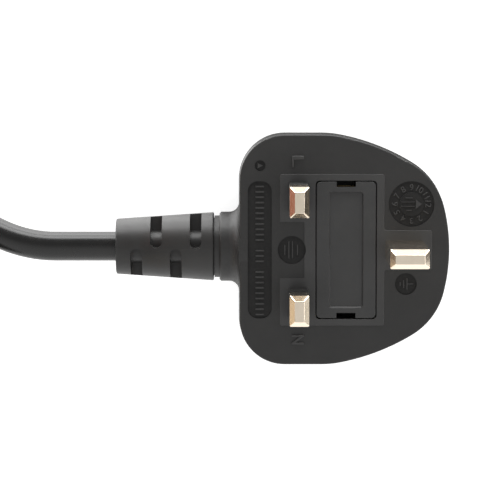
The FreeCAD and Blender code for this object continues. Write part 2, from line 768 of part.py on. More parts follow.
def strain_relief():
    """Relief of the plug, with the spigot and flange that anchor it in the body."""
    relief = slotted_relief(
        relief_start_x, RELIEF_LENGTH, RELIEF_SMALL_RADIUS, RELIEF_BIG_RADIUS, SLOT_COUNT, 0, cord_axis_height
    )
    seat = cord_side_rod(relief_end_x, GROOVE_START_X, GROOVE_RADIUS - RELIEF_SEAM_DEPTH)
    spigot = cord_side_rod(relief_end_x, SPIGOT_END_X, SPIGOT_RADIUS)
    anchor = cord_side_rod(SPIGOT_END_X, SPIGOT_END_X + ANCHOR_THICK, ANCHOR_RADIUS)
    bore_end_x = SPIGOT_END_X + ANCHOR_THICK + CUT_MARGIN
    bore = cord_side_rod(relief_start_x - CUT_MARGIN, bore_end_x, CORD_RADIUS)
    return relief.fuse([seat, spigot, anchor]).cut(bore)


# Fuse

def fuse_tube():
    """Ceramic tube between the caps."""
    half = FUSE_LENGTH / 2 - FUSE_CAP_WALL
    outer = rod((WELL_X, -half, fuse_height), 2 * half, fuse_tube_radius, (0, 1, 0))
    return outer.cut(rod((WELL_X, -half, fuse_height), 2 * half, FUSE_TUBE_BORE, (0, 1, 0)))


def fuse_cap(side):
    """Plated cup on one end of the tube."""
    end_y = side * FUSE_LENGTH / 2
    inwards = (0, -side, 0)
    outer = rod((WELL_X, end_y, fuse_height), FUSE_CAP_LENGTH, FUSE_CAP_RADIUS, inwards)
    hollow_start = (WELL_X, end_y - side * FUSE_CAP_WALL, fuse_height)
    hollow = rod(hollow_start, FUSE_CAP_LENGTH, fuse_tube_radius, inwards)
    rim = [
        edge for edge in outer.Edges
        if abs(edge.CenterOfMass.y - end_y) < EDGE_SLACK
    ]
    return outer.makeFillet(FUSE_CAP_WALL, rim).cut(hollow)


def fuse_wire():
    """Element that runs down the middle of the tube from cap to cap."""
    half = FUSE_LENGTH / 2 - FUSE_CAP_WALL
    return rod((WELL_X, -half, fuse_height), 2 * half, FUSE_WIRE_RADIUS, (0, 1, 0))


# Fuse carrier

def lid_recess(long):
    """Shallow drafted space sunk into the lid."""
    sections = []
    for draft, corner, height in (
        (LID_RECESS_DRAFT, LID_RECESS_DRAFT, insert_top - LID_RECESS_DEPTH),
        (0, 2 * LID_RECESS_DRAFT, insert_top),
    ):
        size_x = LID_RECESS_WIDE - 2 * draft
        size_y = long - 2 * draft
        sections.append(rounded_rectangle(LID_RECESS_X, 0, size_x, size_y, corner, height))
    return Part.makeLoft(sections, True, True)


def fuse_carrier():
    """Lid with pry notches, end walls that stand in the well and a cradle for the fuse."""
    wide = WELL_WIDE - 2 * CARRIER_GAP
    long = well_long - 2 * CARRIER_GAP
    lid_bottom = insert_top - LID_THICK
    lid = prism(rounded_rectangle(WELL_X, 0, wide, long, LID_CORNER, lid_bottom), LID_THICK)
    lid = lid.makeFillet(LID_EDGE_ROUND, edges_at_height(lid, insert_top))
    cuts = [lid_recess(long - 2 * LID_RECESS_END_BORDER)]
    for side in (-1, 1):
        edge_y = side * long / 2
        inner_y = side * (long / 2 - PRY_NOTCH_DEEP)
        cuts.append(block(
            (WELL_X - PRY_NOTCH_WIDE / 2, min(edge_y, inner_y), lid_bottom - CUT_MARGIN),
            (WELL_X + PRY_NOTCH_WIDE / 2, max(edge_y, inner_y), insert_top + CUT_MARGIN),
        ))
    lid = lid.cut(cuts)
    walls = []
    for side in (-1, 1):
        inner_y = side * end_wall_y
        outer_y = side * (end_wall_y + END_WALL_THICK)
        half = wide / 2 - WELL_LEDGE - WELL_CORNER
        for start_x, end_x in ((-half, -PRY_NOTCH_WIDE / 2), (PRY_NOTCH_WIDE / 2, half)):
            walls.append(block(
                (WELL_X + start_x, min(inner_y, outer_y), well_floor + STOP_GAP),
                (WELL_X + end_x, max(inner_y, outer_y), lid_bottom),
            ))
    half_wide = fuse_tube_radius + CRADLE_WALL
    half_long = FUSE_LENGTH / 2 - FUSE_CAP_LENGTH - CRADLE_CAP_GAP
    cradle = block(
        (WELL_X - half_wide, -half_long, fuse_height - CRADLE_DROP),
        (WELL_X + half_wide, half_long, lid_bottom),
    )
    seat = rod((WELL_X, -half_long, fuse_height), 2 * half_long, fuse_tube_radius, (0, 1, 0))
    return lid.fuse(walls + [cradle.cut(seat)])


# Clips and terminals

def clip_jaws(centre_y):
    """Two spring arms on a base, open upwards so that the fuse lifts out."""
    inner = FUSE_CAP_RADIUS + CLIP_CLEARANCE + SHEET / 2
    base = well_floor + SHEET / 2
    top = fuse_height + CLIP_RISE
    line = [
        (WELL_X - inner - CLIP_FLARE, top + CLIP_FLARE),
        (WELL_X - inner, top - CLIP_FLARE),
        (WELL_X - inner, base),
        (WELL_X + inner, base),
        (WELL_X + inner, top - CLIP_FLARE),
        (WELL_X + inner + CLIP_FLARE, top + CLIP_FLARE),
    ]
    return folded_sheet(line, centre_y - CLIP_WIDTH / 2, CLIP_WIDTH)


def live_fuse_clip():
    """Clip with the strap that runs out of the well and up to a tab on the live pin's rivet."""
    base = well_floor + SHEET / 2
    line = [
        (WELL_X + FUSE_CAP_RADIUS - STRAP_LAP, base),
        (strap_riser_x, base),
        (strap_riser_x, root_bottom - SHEET / 2),
        (pin_row_x - STRAP_PAST_PIN, root_bottom - SHEET / 2),
    ]
    strap = folded_sheet(line, strap_start_y, strap_width)
    tab = block(
        (pin_row_x - STRAP_PAST_PIN, min(strap_start_y, live_y - TAB_INWARD), root_bottom - SHEET),
        (strap_riser_x - BEND_RADIUS, max(strap_start_y + strap_width, live_y + TAB_OUTWARD), root_bottom),
    )
    hole = rod((pin_row_x, live_y, root_bottom - 2 * SHEET), 3 * SHEET, RIVET_RADIUS, (0, 0, 1))
    return clip_jaws(clip_centre_y).fuse([strap, tab]).cut(hole)


def load_fuse_clip():
    """Clip with the tail that carries the live core's crimp under the well."""
    tail = block(
        (WELL_X - SHEET / 2, -clip_centre_y - TAIL_WIDTH / 2, feed_height),
        (WELL_X + SHEET / 2, -clip_centre_y + TAIL_WIDTH / 2, well_floor + SHEET / 2),
    )
    start = (WELL_X + SHEET / 2 - BARREL_LENGTH, -clip_centre_y, feed_height)
    barrel = rod(start, BARREL_LENGTH, BARREL_RADIUS, (1, 0, 0))
    bore = rod(start, BARREL_LENGTH - SHEET, COPPER_RADIUS, (1, 0, 0))
    return clip_jaws(-clip_centre_y).fuse([tail, barrel]).cut(bore)


def neutral_terminal():
    """Eyelet under the neutral pin with a crimp that faces the cord."""
    eyelet = rod((pin_row_x, -live_y, root_bottom - SHEET), SHEET, EYELET_RADIUS, (0, 0, 1))
    tongue_end = -live_y + EYELET_RADIUS + TONGUE_REACH
    tongue = block(
        (pin_row_x - BARREL_RADIUS, -live_y, root_bottom - SHEET),
        (pin_row_x + BARREL_RADIUS, tongue_end, root_bottom),
    )
    start = (pin_row_x, tongue_end - TONGUE_LAP, root_bottom - BARREL_RADIUS)
    barrel = rod(start, BARREL_LENGTH, BARREL_RADIUS, (0, 1, 0))
    bore = rod(start, BARREL_LENGTH, COPPER_RADIUS, (0, 1, 0))
    hole = rod((pin_row_x, -live_y, root_bottom - 2 * SHEET), 3 * SHEET, RIVET_RADIUS, (0, 0, 1))
    return eyelet.fuse([tongue, barrel]).cut([bore, hole])


def earth_terminal():
    """Eyelet under the earth pin with a crimp that hangs down beside the rivet."""
    eyelet = rod((earth_x, 0, root_bottom - SHEET), SHEET, EYELET_RADIUS, (0, 0, 1))
    tongue = block(
        (earth_x, -BARREL_RADIUS, root_bottom - SHEET),
        (crimp_drop_x + BARREL_RADIUS, BARREL_RADIUS, root_bottom),
    )
    start = (crimp_drop_x, 0, root_bottom - SHEET - BARREL_LENGTH)
    barrel = rod(start, BARREL_LENGTH + SHEET, BARREL_RADIUS, (0, 0, 1))
    bore = rod(start, BARREL_LENGTH, COPPER_RADIUS, (0, 0, 1))
    hole = rod((earth_x, 0, root_bottom - 2 * SHEET), 3 * SHEET, RIVET_RADIUS, (0, 0, 1))
    return eyelet.fuse([tongue, barrel]).cut([bore, hole])


# Insulated cores

def core_routes():
    """Ways of the three cores from the end of the sheath to their crimps."""
    neutral_mouth_y = -live_y + EYELET_RADIUS + TONGUE_REACH - TONGUE_LAP + BARREL_LENGTH
    neutral_height = root_bottom - BARREL_RADIUS
    live_mouth_x = WELL_X + SHEET / 2 - BARREL_LENGTH
    earth_mouth = root_bottom - SHEET - BARREL_LENGTH
    spread = CORD_RADIUS / 2
    upper = cord_axis_height + CORE_RISE
    starts = {
        "neutral": (-spread, upper),
        "live": (0.0, cord_axis_height - spread),
        "earth": (spread, upper),
    }
    ends = {
        "neutral": [
            (pin_row_x, neutral_mouth_y + CORE_LEAD, neutral_height),
            (pin_row_x, neutral_mouth_y, neutral_height),
        ],
        "live": [
            (live_mouth_x - LIVE_LEAD, -clip_centre_y, feed_height),
            (live_mouth_x, -clip_centre_y, feed_height),
        ],
        "earth": [
            (crimp_drop_x, 0.0, feed_height),
            (crimp_drop_x, 0.0, earth_mouth),
        ],
    }
    routes = {}
    for name, (start_y, start_height) in starts.items():
        route = [(sheath_end_x + along, start_y, start_height) for along in (0, CORE_STRAIGHT)]
        route += [(x, y, feed_height + rise) for x, y, rise in CORE_BENDS[name]]
        routes[name] = route + ends[name]
    return routes


def crimp_directions():
    """Way that each core points where it enters its crimp."""
    return {"neutral": (0, -1, 0), "live": (1, 0, 0), "earth": (0, 0, 1)}


def insulated_core(name):
    """Coloured insulation from the sheath to the crimp, round its copper."""
    route = core_routes()[name]
    return tube_along(route, CORE_RADIUS).cut(tube_along(route, COPPER_RADIUS))


def copper_conductor(name):
    """Stranded copper through the insulation and into the crimp."""
    route = core_routes()[name]
    strand = tube_along(route, COPPER_RADIUS)
    bare = rod(route[-1], BARREL_LENGTH - SHEET, COPPER_RADIUS, crimp_directions()[name])
    return strand.fuse(bare)


# Lead

def racetrack(radius, height):
    """Oval of two half circles and two straight runs, as the hank is wound."""
    near = Vector(hank_near_centre_x, HANK_CENTRE_Y, height)
    far = Vector(hank_far_centre_x, HANK_CENTRE_Y, height)
    up = Vector(0, radius, 0)
    along = Vector(radius, 0, 0)
    edges = [
        Part.Arc(near - up, near + along, near + up).toShape(),
        Part.LineSegment(near + up, far + up).toShape(),
        Part.Arc(far + up, far - along, far - up).toShape(),
        Part.LineSegment(far - up, near - up).toShape(),
    ]
    return Part.Wire(edges)


def tie_band(side):
    """Loop of flat tie round one side of the hank."""
    lane_middle = HANK_CENTRE_Y + side * (hank_outer_radius + hank_inner_radius) / 2
    width = hank_outer_radius - hank_inner_radius
    outer = block(
        (TIE_X - TIE_WIDTH / 2, lane_middle - width / 2, 0),
        (TIE_X + TIE_WIDTH / 2, lane_middle + width / 2, hank_height),
    )
    inner = block(
        (TIE_X - TIE_WIDTH / 2, lane_middle - width / 2 + TIE_THICK, TIE_THICK),
        (TIE_X + TIE_WIDTH / 2, lane_middle + width / 2 - TIE_THICK, hank_height - TIE_THICK),
    )
    lengthways = [edge for edge in outer.Edges if edge.BoundBox.XLength > TIE_WIDTH / 2]
    outer = outer.makeFillet(HANK_EDGE_ROUND, lengthways)
    lengthways = [edge for edge in inner.Edges if edge.BoundBox.XLength > TIE_WIDTH / 2]
    inner = inner.makeFillet(HANK_EDGE_ROUND - TIE_THICK, lengthways)
    return outer.cut(inner)


def cord_hank():
    """Outer shape of the wound up length, let in where the ties go round it."""
    outer = prism(racetrack(hank_outer_radius, 0), hank_height)
    outer = outer.makeFillet(HANK_EDGE_ROUND, edges_at_height(outer, 0) + edges_at_height(outer, hank_height))
    inner = prism(racetrack(hank_inner_radius, 0), hank_height)
    hank = outer.cut(inner)
    inner_rims = [
        edge for edge in edges_at_height(hank, 0) + edges_at_height(hank, hank_height)
        if edge.BoundBox.YLength <= 2 * hank_inner_radius + EDGE_SLACK
        and abs(edge.CenterOfMass.y - HANK_CENTRE_Y) <= hank_inner_radius + EDGE_SLACK
    ]
    hank = hank.makeFillet(HANK_EDGE_ROUND, inner_rims)
    return hank.cut([tie_band(1), tie_band(-1)])


# Appliance connector

def section_across(wide, high, corner, place_x):
    """Rounded rectangle across the connector's axis."""
    points = [
        Vector(place_x, connector_y + sign_y * wide / 2, connector_height + sign_z * high / 2)
        for sign_y, sign_z in ((-1, -1), (1, -1), (1, 1), (-1, 1))
    ]
    return rounded_wire(points, [corner] * 4)


def connector_places():
    """Where the relief, the grip and the nose of the connector end."""
    relief_end = CONNECTOR_START_X - CONNECTOR_RELIEF_LENGTH
    grip_end = relief_end - GRIP_LENGTH
    return relief_end, grip_end, grip_end - NOSE_LENGTH


def nose_section(inset, place_x):
    """Section of the nose, with its two upper corners cut off."""
    half_y = NOSE_WIDE / 2 - inset
    half_z = NOSE_HIGH / 2 - inset
    chamfer = NOSE_CHAMFER - inset * (2 - math.sqrt(2))
    corners = [
        (-half_y, -half_z), (half_y, -half_z), (half_y, half_z - chamfer), (half_y - chamfer, half_z),
        (chamfer - half_y, half_z), (-half_y, half_z - chamfer),
    ]
    points = [Vector(place_x, connector_y + y, connector_height + z) for y, z in corners]
    return rounded_wire(points, [NOSE_EDGE_ROUND] * len(points))


def connector_body():
    """Soft grip and nose of the connector, hollow for its face plate."""
    relief_end, grip_end, nose_end = connector_places()
    taper = Part.makeLoft(
        [
            section_across(GRIP_BACK_WIDE, GRIP_BACK_HIGH, GRIP_CORNER, relief_end),
            section_across(GRIP_WIDE, GRIP_HIGH, GRIP_CORNER, relief_end - GRIP_TAPER),
        ],
        True, True,
    )
    grip_face = Part.Face(section_across(GRIP_WIDE, GRIP_HIGH, GRIP_CORNER, relief_end - GRIP_TAPER))
    grip = grip_face.extrude(Vector(GRIP_TAPER - GRIP_LENGTH, 0, 0))
    grip = grip.makeFillet(NOSE_EDGE_ROUND, end_rim(grip, grip_end))
    nose = Part.Face(nose_section(0, grip_end)).extrude(Vector(-NOSE_LENGTH, 0, 0))
    pocket = Part.Face(nose_section(FACE_PLATE_BORDER, nose_end)).extrude(Vector(FACE_PLATE_DEPTH, 0, 0))
    return taper.fuse([grip, nose]).cut(pocket)


def contact_places():
    """Live, neutral and earth contacts across the connector's face."""
    low = connector_height - CONTACT_EARTH_OFFSET / 2
    return {
        "live": (connector_y - CONTACT_SPACING / 2, low),
        "neutral": (connector_y + CONTACT_SPACING / 2, low),
        "earth": (connector_y, low + CONTACT_EARTH_OFFSET),
    }


def contact_channel(name, start_x, end_x, border):
    """Rectangular channel along X round one contact."""
    centre_y, centre_z = contact_places()[name]
    half_y = CONTACT_SLOT_WIDE / 2 + border
    half_z = CONTACT_SLOT_HIGH / 2 + border
    return block(
        (end_x, centre_y - half_y, centre_z - half_z),
        (start_x, centre_y + half_y, centre_z + half_z),
    )


def connector_insert():
    """Hard face plate of the connector, with a slot for each pin."""
    nose_end = connector_places()[2]
    front = nose_end + FACE_PLATE_SUNK
    back = nose_end + FACE_PLATE_DEPTH
    insert = Part.Face(nose_section(FACE_PLATE_BORDER, front)).extrude(Vector(back - front, 0, 0))
    cuts = []
    for name in contact_places():
        cuts.append(contact_channel(name, back - CONTACT_BACK_WALL, front - CUT_MARGIN, 0))
        sleeve_start = front + CONTACT_SUNK
        cuts.append(contact_channel(name, sleeve_start + CONTACT_LENGTH, sleeve_start, CONTACT_SHEET))
    return insert.cut(cuts)


def contact_sleeve(name):
    """Folded brass sleeve that grips one pin of the inlet."""
    sleeve_start = connector_places()[2] + FACE_PLATE_SUNK + CONTACT_SUNK
    outer = contact_channel(name, sleeve_start + CONTACT_LENGTH, sleeve_start, CONTACT_SHEET)
    return outer.cut(contact_channel(name, sleeve_start + CONTACT_LENGTH, sleeve_start, 0))


def connector_relief():
    """Slotted relief where the cord enters the connector."""
    relief_end = connector_places()[0]
    relief = slotted_relief(
        0, CONNECTOR_RELIEF_LENGTH, CONNECTOR_RELIEF_SMALL_RADIUS, CONNECTOR_RELIEF_BIG_RADIUS,
        CONNECTOR_SLOT_COUNT, 0, 0,
    )
    bore = rod((-CUT_MARGIN, 0, 0), CONNECTOR_RELIEF_LENGTH + 2 * CUT_MARGIN, CORD_RADIUS, (1, 0, 0))
    relief = relief.cut(bore)
    relief.rotate(Vector(0, 0, 0), Vector(0, 0, 1), 180)
    relief.translate(Vector(relief_end + CONNECTOR_RELIEF_LENGTH, connector_y, connector_height))
    return relief


# All pieces by name

def all_pieces():
    """Every separate piece of the plug and its lead."""
    pieces = {
        "plug_body": plug_body(),
        "pin_bridge": pin_bridge(),
        "bridge_cover": bridge_cover(),
        "live_pin": line_pin(live_y),
        "neutral_pin": line_pin(-live_y),
        "earth_pin": earth_pin(),
        "live_sleeve": pin_sleeve(live_y),
        "neutral_sleeve": pin_sleeve(-live_y),
        "fuse_carrier": fuse_carrier(),
        "fuse_tube": fuse_tube(),
        "live_fuse_cap": fuse_cap(1),
        "load_fuse_cap": fuse_cap(-1),
        "fuse_wire": fuse_wire(),
        "live_fuse_clip": live_fuse_clip(),
        "load_fuse_clip": load_fuse_clip(),
        "neutral_terminal": neutral_terminal(),
        "earth_terminal": earth_terminal(),
        "strain_relief": strain_relief(),
        "mains_cord": tube_along(lead_route, CORD_RADIUS),
        "cord_hank": cord_hank(),
        "cord_tail": tube_along(TAIL_ROUTE, CORD_RADIUS),
        "upper_hank_tie": tie_band(1),
        "lower_hank_tie": tie_band(-1),
        "connector_body": connector_body(),
        "connector_insert": connector_insert(),
        "connector_relief": connector_relief(),
    }
    for name in core_routes():
        pieces[name + "_core"] = insulated_core(name)
        pieces[name + "_copper"] = copper_conductor(name)
    for name in contact_places():
        pieces[name + "_contact"] = contact_sleeve(name)
    return pieces


def report_cord(name, route, shape):
    """Prints how gently a cord bends and how true its volume is."""
    path, radii = cord_path(route)
    expected = math.pi * CORD_RADIUS ** 2 * path.Length
    bends = ", ".join("%.1f" % radius for radius in radii if radius)
    share = shape.Volume / expected
    print("%s: length %.1f, radii %s, volume %.4f of expected" % (name, path.Length, bends, share))


os.makedirs("parts", exist_ok=True)
pieces = all_pieces()
for name, shape in pieces.items():
    shape.exportStep("parts/%s.step" % name)
    print("%-18s solids %d, valid %s, volume %.2f" % (name, len(shape.Solids), shape.isValid(), shape.Volume))
report_cord("mains_cord", lead_route, pieces["mains_cord"])
report_cord("cord_tail", TAIL_ROUTE, pieces["cord_tail"])
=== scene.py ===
"""Looks of a three pin mains plug and its lead: finishes, signs, cord, studio and camera."""

import json
import logging
import math
from dataclasses import dataclass, field
from enum import Enum
from typing import Iterable

import bmesh
import bpy
from mathutils import Euler, Matrix, Vector


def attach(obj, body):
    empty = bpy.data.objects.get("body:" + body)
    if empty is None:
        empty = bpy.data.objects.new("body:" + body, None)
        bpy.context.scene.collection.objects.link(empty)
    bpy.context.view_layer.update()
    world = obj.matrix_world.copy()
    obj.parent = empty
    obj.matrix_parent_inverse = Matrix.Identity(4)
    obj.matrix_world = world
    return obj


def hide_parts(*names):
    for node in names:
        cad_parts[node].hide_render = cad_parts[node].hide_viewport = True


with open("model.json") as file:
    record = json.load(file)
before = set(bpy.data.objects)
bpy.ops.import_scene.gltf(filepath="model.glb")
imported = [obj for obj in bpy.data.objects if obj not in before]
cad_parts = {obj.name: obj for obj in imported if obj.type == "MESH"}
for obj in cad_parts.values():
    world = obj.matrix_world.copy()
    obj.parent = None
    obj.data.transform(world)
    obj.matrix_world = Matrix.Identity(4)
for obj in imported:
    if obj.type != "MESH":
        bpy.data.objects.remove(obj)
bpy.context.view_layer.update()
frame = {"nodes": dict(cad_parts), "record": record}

MM = 0.001
LOG = logging.getLogger("plug")

NOISE_LOW = 0.3
NOISE_HIGH = 0.7
NOISE_ROUGHNESS = 0.6
FEW_LAYERS = 2.0
SOME_LAYERS = 3.0
MANY_LAYERS = 4.0

Colour = tuple[float, float, float]
Point = tuple[float, float, float]
Pair = tuple[float, float]
Shape = bmesh.types.BMesh
Socket = bpy.types.NodeSocket


class Body(Enum):
    """Bodies that the pieces ride on."""

    PLUG = "plug"
    FUSE_HOLDER = "fuse_holder"


class SignFinish(Enum):
    """Finishes of the signs, which are moulded in one with the body."""

    ETCHED = "etched_pvc"
    # The raised finish is the body's plastic painted lighter: a painted highlight on the raised signs.
    RAISED = "raised_pvc"


def row_point(point: Point) -> Vector:
    """Turns a place in millimetres into the metres of the row frame."""
    return Vector(point) * MM


def show(name: str, data: bpy.types.ID) -> bpy.types.Object:
    """Links a mesh, curve, light or camera into the scene.

    Args:
        name: Name of the new object.
        data: What the object shows, in the row frame.

    Returns:
        The new object.
    """
    piece = bpy.data.objects.new(name, data)
    bpy.context.scene.collection.objects.link(piece)
    return piece


def set_sockets(node: bpy.types.Node, values: dict[str, object]) -> None:
    """Sets a node's sockets by name, with underscores for spaces."""
    for socket, value in values.items():
        node.inputs[socket.replace("_", " ")].default_value = value


def fill_ramp(ramp: bpy.types.Node, stops: list[tuple[float, Colour]]) -> None:
    """Sets the stops of a colour ramp.

    Args:
        ramp: Node that holds the ramp.
        stops: Place and colour of each stop.
    """
    elements = ramp.color_ramp.elements
    while len(elements) < len(stops):
        elements.new(1.0)
    for element, (place, colour) in zip(elements, stops):
        element.position = place
        element.color = (*colour, 1.0)


class NodeSheet:
    """Node tree of one material, with short calls that add and join its nodes."""

    def __init__(self, name: str) -> None:
        """Starts a material that holds one principled shader.

        Args:
            name: Name of the material.
        """
        self.material = bpy.data.materials.new(name)
        self.material.use_nodes = True
        self.tree = self.material.node_tree
        self.tree.nodes.clear()
        self.shader = self.add("ShaderNodeBsdfPrincipled")
        output = self.add("ShaderNodeOutputMaterial")
        self.join(self.shader.outputs["BSDF"], output.inputs["Surface"])
        self.place = self.add("ShaderNodeTexCoord").outputs["Object"]

    def add(self, kind: str, **values: object) -> bpy.types.Node:
        """Adds a node.

        Args:
            kind: Kind of the node.
            values: Value of each socket, by name, with underscores for spaces.

        Returns:
            The new node.
        """
        node = self.tree.nodes.new(kind)
        set_sockets(node, values)
        return node

    def join(self, source: Socket, target: Socket) -> None:
        """Links two sockets."""
        self.tree.links.new(source, target)

    def noise(self, size: float, detail: float, stretch: Point = (1.0, 1.0, 1.0)) -> Socket:
        """Adds a cloudy pattern.

        Args:
            size: Size of one cloud in metres.
            detail: How many finer layers the pattern has.
            stretch: How much longer a cloud is along each axis.

        Returns:
            The pattern's value from about 0 to 1.
        """
        mapping = self.add("ShaderNodeMapping", Scale=[1.0 / (size * share) for share in stretch])
        texture = self.add("ShaderNodeTexNoise", Scale=1.0, Detail=detail, Roughness=NOISE_ROUGHNESS)
        self.join(self.place, mapping.inputs["Vector"])
        self.join(mapping.outputs["Vector"], texture.inputs["Vector"])
        return texture.outputs["Fac"]

    def tones(self, value: Socket, stops: list[tuple[float, Colour]]) -> None:
        """Colours the shader by a pattern.

        Args:
            value: Pattern from 0 to 1.
            stops: Place and colour of each stop of the ramp between them.
        """
        ramp = self.add("ShaderNodeValToRGB")
        fill_ramp(ramp, stops)
        self.join(value, ramp.inputs["Fac"])
        self.join(ramp.outputs["Color"], self.shader.inputs["Base Color"])

    def clouds(self, size: float, detail: float, dark: Colour, light: Colour) -> None:
        """Gives the shader a cloudy colour.

        Args:
            size: Size of one cloud in metres.
            detail: How many finer layers the clouds have.
            dark: Colour of the darkest clouds.
            light: Colour of the lightest clouds.
        """
        self.tones(self.noise(size, detail), [(NOISE_LOW, dark), (NOISE_HIGH, light)])

    def sheen(self, value: Socket, gloss: float, matt: float) -> None:
        """Gives the shader an uneven roughness.

        Args:
            value: Pattern from about 0 to 1.
            gloss: Roughness of the smoothest spots.
            matt: Roughness of the dullest spots.
        """
        bounds = {"From_Min": NOISE_LOW, "From_Max": NOISE_HIGH, "To_Min": gloss, "To_Max": matt}
        node = self.add("ShaderNodeMapRange", **bounds)
        self.join(value, node.inputs["Value"])
        self.join(node.outputs["Result"], self.shader.inputs["Roughness"])

    def bump(self, height: Socket, depth: float, strength: float) -> None:
        """Adds relief to the shader's normal.

        Args:
            height: Pattern from 0 to 1.
            depth: Height of the relief in metres.
            strength: Share of the relief that shows.
        """
        node = self.add("ShaderNodeBump", Distance=depth, Strength=strength)
        self.join(height, node.inputs["Height"])
        self.join(node.outputs["Normal"], self.shader.inputs["Normal"])


@dataclass(frozen=True)
class MouldedPlastic:
    """Moulded plastic with a fine grain, cloudy tone and uneven gloss.

    Sizes are in millimetres.
    """

    name: str
    dark: Colour
    light: Colour
    matt: float
    gloss: float
    grain: float
    grain_depth: float
    cloud: float = 6.0
    shine: float = 0.5
    patches_in_cloud: float = 3.0
    grain_strength: float = 0.6

    def make(self) -> bpy.types.Material:
        """Builds the finish.

        Returns:
            The new material.
        """
        sheet = NodeSheet(self.name)
        sheet.clouds(self.cloud * MM, SOME_LAYERS, self.dark, self.light)
        patches = sheet.noise(self.cloud * MM / self.patches_in_cloud, MANY_LAYERS)
        sheet.sheen(patches, self.gloss, self.matt)
        set_sockets(sheet.shader, {"Specular_IOR_Level": self.shine})
        grain = sheet.noise(self.grain * MM, FEW_LAYERS)
        sheet.bump(grain, self.grain_depth * MM, self.grain_strength)
        return sheet.material


@dataclass(frozen=True)
class RolledMetal:
    """Metal with fine drawn lines along one axis and a faintly uneven tone.

    Sizes are in millimetres.
    """

    name: str
    dark: Colour
    light: Colour
    matt: float
    gloss: float
    lines: float
    along: Point
    line_depth: float = 0.0015
    line_strength: float = 0.35
    cloud: float = 2.5

    def make(self) -> bpy.types.Material:
        """Builds the finish.

        Returns:
            The new material.
        """
        sheet = NodeSheet(self.name)
        sheet.clouds(self.cloud * MM, SOME_LAYERS, self.dark, self.light)
        drawn = sheet.noise(self.lines * MM, SOME_LAYERS, self.along)
        sheet.sheen(drawn, self.gloss, self.matt)
        set_sockets(sheet.shader, {"Metallic": 1.0})
        sheet.bump(drawn, self.line_depth * MM, self.line_strength)
        return sheet.material


@dataclass(frozen=True)
class BandedInsulation:
    """Insulation of one core, in one colour or with a second colour in bands.

    Sizes are in millimetres.
    """

    name: str
    ground: Colour
    band: Colour
    band_width: float = 2.0
    band_scale: float = 0.3
    band_waver: float = 0.4
    ground_until: float = 0.5
    band_from: float = 0.56
    matt: float = 0.42
    grain: float = 0.3
    grain_depth: float = 0.01
    grain_strength: float = 0.4

    def make(self) -> bpy.types.Material:
        """Builds the finish.

        Returns:
            The new material.
        """
        sheet = NodeSheet(self.name)
        mapping = sheet.add("ShaderNodeMapping", Scale=[1.0 / (self.band_width * MM)] * 3)
        wave = sheet.add("ShaderNodeTexWave", Scale=self.band_scale, Distortion=self.band_waver)
        wave.bands_direction = "Y"
        sheet.join(sheet.place, mapping.inputs["Vector"])
        sheet.join(mapping.outputs["Vector"], wave.inputs["Vector"])
        stops = [(self.ground_until, self.ground), (self.band_from, self.band)]
        sheet.tones(wave.outputs["Fac"], stops)
        set_sockets(sheet.shader, {"Roughness": self.matt})
        grain = sheet.noise(self.grain * MM, FEW_LAYERS)
        sheet.bump(grain, self.grain_depth * MM, self.grain_strength)
        return sheet.material


